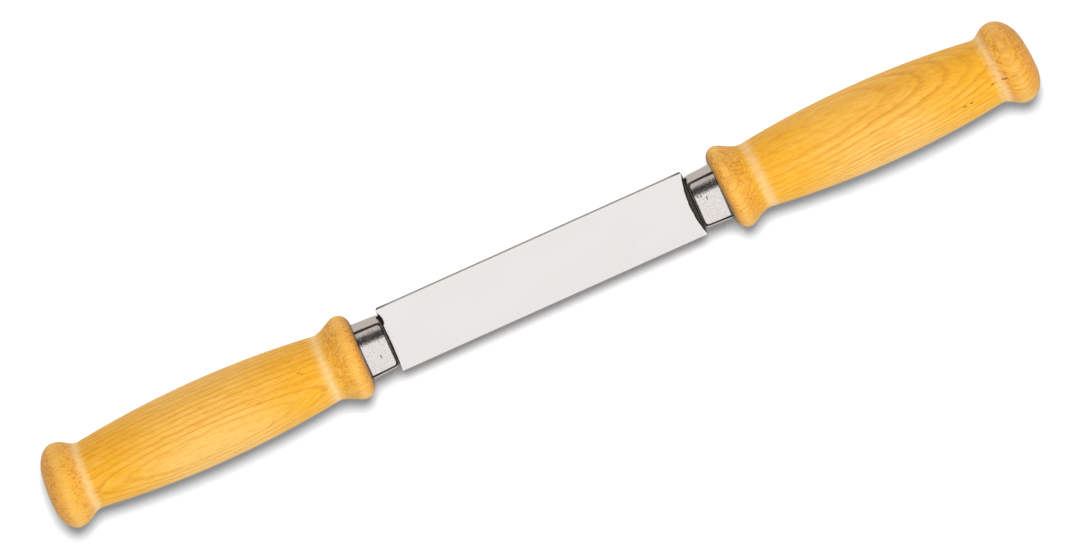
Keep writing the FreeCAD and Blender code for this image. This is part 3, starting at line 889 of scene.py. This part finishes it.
def make_floor():
    material, g = new_material("pale_floor")
    place = g.node("ShaderNodeTexCoord").outputs["Object"]
    grain = g.noise(place, 300.0, 3.0)
    pale = g.mix(grain, (0.90, 0.90, 0.90, 1), (0.93, 0.93, 0.93, 1))
    reflected = g.node("ShaderNodeLightPath").outputs["Is Glossy Ray"]
    g.surface(
        Base_Color=g.mix(reflected, pale, FLOOR_IN_REFLECTIONS),
        Roughness=0.9,
        Normal=g.bump(grain, 0.05, 0.0001),
    )
    reach = 6.0
    mesh = bpy.data.meshes.new("floor")
    corners = [(-reach, -reach, 0), (reach, -reach, 0), (reach, reach, 0), (-reach, reach, 0)]
    mesh.from_pydata(corners, [], [(0, 1, 2, 3)])
    mesh.materials.append(material)
    floor = bpy.data.objects.new("floor", mesh)
    floor.location.z = FLOOR_Z * MM
    bpy.context.scene.collection.objects.link(floor)
    floor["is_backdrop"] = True
    return floor


def make_world():
    """A studio as reflections see it: a broad white panel over the cutting edge side, a dark gap overhead,
    and dimmer walls towards the spine side. Everything else sees a soft even dome."""
    world = bpy.data.worlds.new("studio")
    bpy.context.scene.world = world
    world.use_nodes = True
    g = Graph(world.node_tree)
    _, y, z = g.split(g.node("ShaderNodeTexCoord").outputs["Generated"])
    tilt = g.math("ARCTAN2", y, z)
    share = g.spread(tilt, -math.pi / 2, math.pi / 2, 0.0, 1.0, smooth=False)

    def at(degrees):
        return (degrees + 90) / 180

    def grey(value, warm=0.0):
        return value * (1 + warm), value, value * (1 - warm), 1.0

    panel = g.ramp(share, (
        (at(-90), grey(0.12)),
        (at(-62), grey(0.14)),
        (at(-52), grey(0.95)),
        (at(2.5), grey(0.97)),
        (at(4), grey(0.06)),
        (at(16.5), grey(0.06)),
        (at(18), grey(0.64, 0.06)),
        (at(27), grey(0.55, 0.05)),
        (at(90), grey(0.30)),
    ))
    dome = g.ramp(share, (
        (at(-90), grey(0.46)),
        (at(0), grey(0.32)),
        (at(90), grey(0.24)),
    ))
    light_path = g.node("ShaderNodeLightPath")
    colour = g.mix(light_path.outputs["Is Glossy Ray"], dome, panel)
    background = g.node("ShaderNodeBackground", {"Color": colour, "Strength": 1.0})
    g.node("ShaderNodeOutputWorld", {"Surface": background.outputs[0]})


def area_light(name, position, size, power, lit, colour=(1, 1, 1)):
    """A round lamp aimed at the origin that lights only the given objects and isn't itself reflected."""
    light = bpy.data.lights.new(name, "AREA")
    light.shape = "DISK"
    light.size = size
    light.energy = power
    light.color = colour
    lamp = bpy.data.objects.new(name, light)
    bpy.context.scene.collection.objects.link(lamp)
    lamp.location = position
    lamp.rotation_euler = (-Vector(position)).to_track_quat("-Z", "Y").to_euler()
    lamp.visible_glossy = False
    receivers = bpy.data.collections.new(name + "_lights")
    for obj in lit:
        receivers.objects.link(obj)
    lamp.light_linking.receiver_collection = receivers


CAMERA_DISTANCE = 2.0          # metres
CAMERA_TILT = math.radians(12.0)     # towards the spine side
TOOL_RISE = math.radians(24.2)       # of the tool's axis in the picture
PICTURE_WIDTH = 0.36467        # metres across the picture, at the tool
PICTURE_CENTRE = (0.00044, -0.00039)  # of the picture from the origin, to the right and up


def make_camera():
    toward = Vector((0, math.sin(CAMERA_TILT), math.cos(CAMERA_TILT)))
    along = Vector((1, 0, 0))
    up_tool = toward.cross(along)
    right = math.cos(TOOL_RISE) * along - math.sin(TOOL_RISE) * up_tool
    up = math.sin(TOOL_RISE) * along + math.cos(TOOL_RISE) * up_tool
    data = bpy.data.cameras.new("camera")
    data.sensor_width = 36.0
    data.lens = data.sensor_width * CAMERA_DISTANCE / PICTURE_WIDTH
    data.clip_end = 20.0
    camera = bpy.data.objects.new("camera", data)
    bpy.context.scene.collection.objects.link(camera)
    place = toward * CAMERA_DISTANCE + right * PICTURE_CENTRE[0] + up * PICTURE_CENTRE[1]
    camera.matrix_world = Matrix.Translation(place) @ Matrix((right, up, toward)).transposed().to_4x4()
    bpy.context.scene.camera = camera


floor = make_floor()
make_world()
area_light("floor_lamp", (0.11, 0.76, 1.69), 0.64, 43.0, [floor])
area_light("tool_lamp", (0.25, -1.08, 1.40), 0.80, 17.0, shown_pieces())
area_light("warm_fill", (0.10, 0.65, 1.40), 0.80, 13.5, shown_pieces(), (1.0, 0.84, 0.54))
make_camera()

scene = bpy.context.scene
scene.view_settings.view_transform = "Standard"
scene.view_settings.look = "None"
scene.view_settings.exposure = 0.0
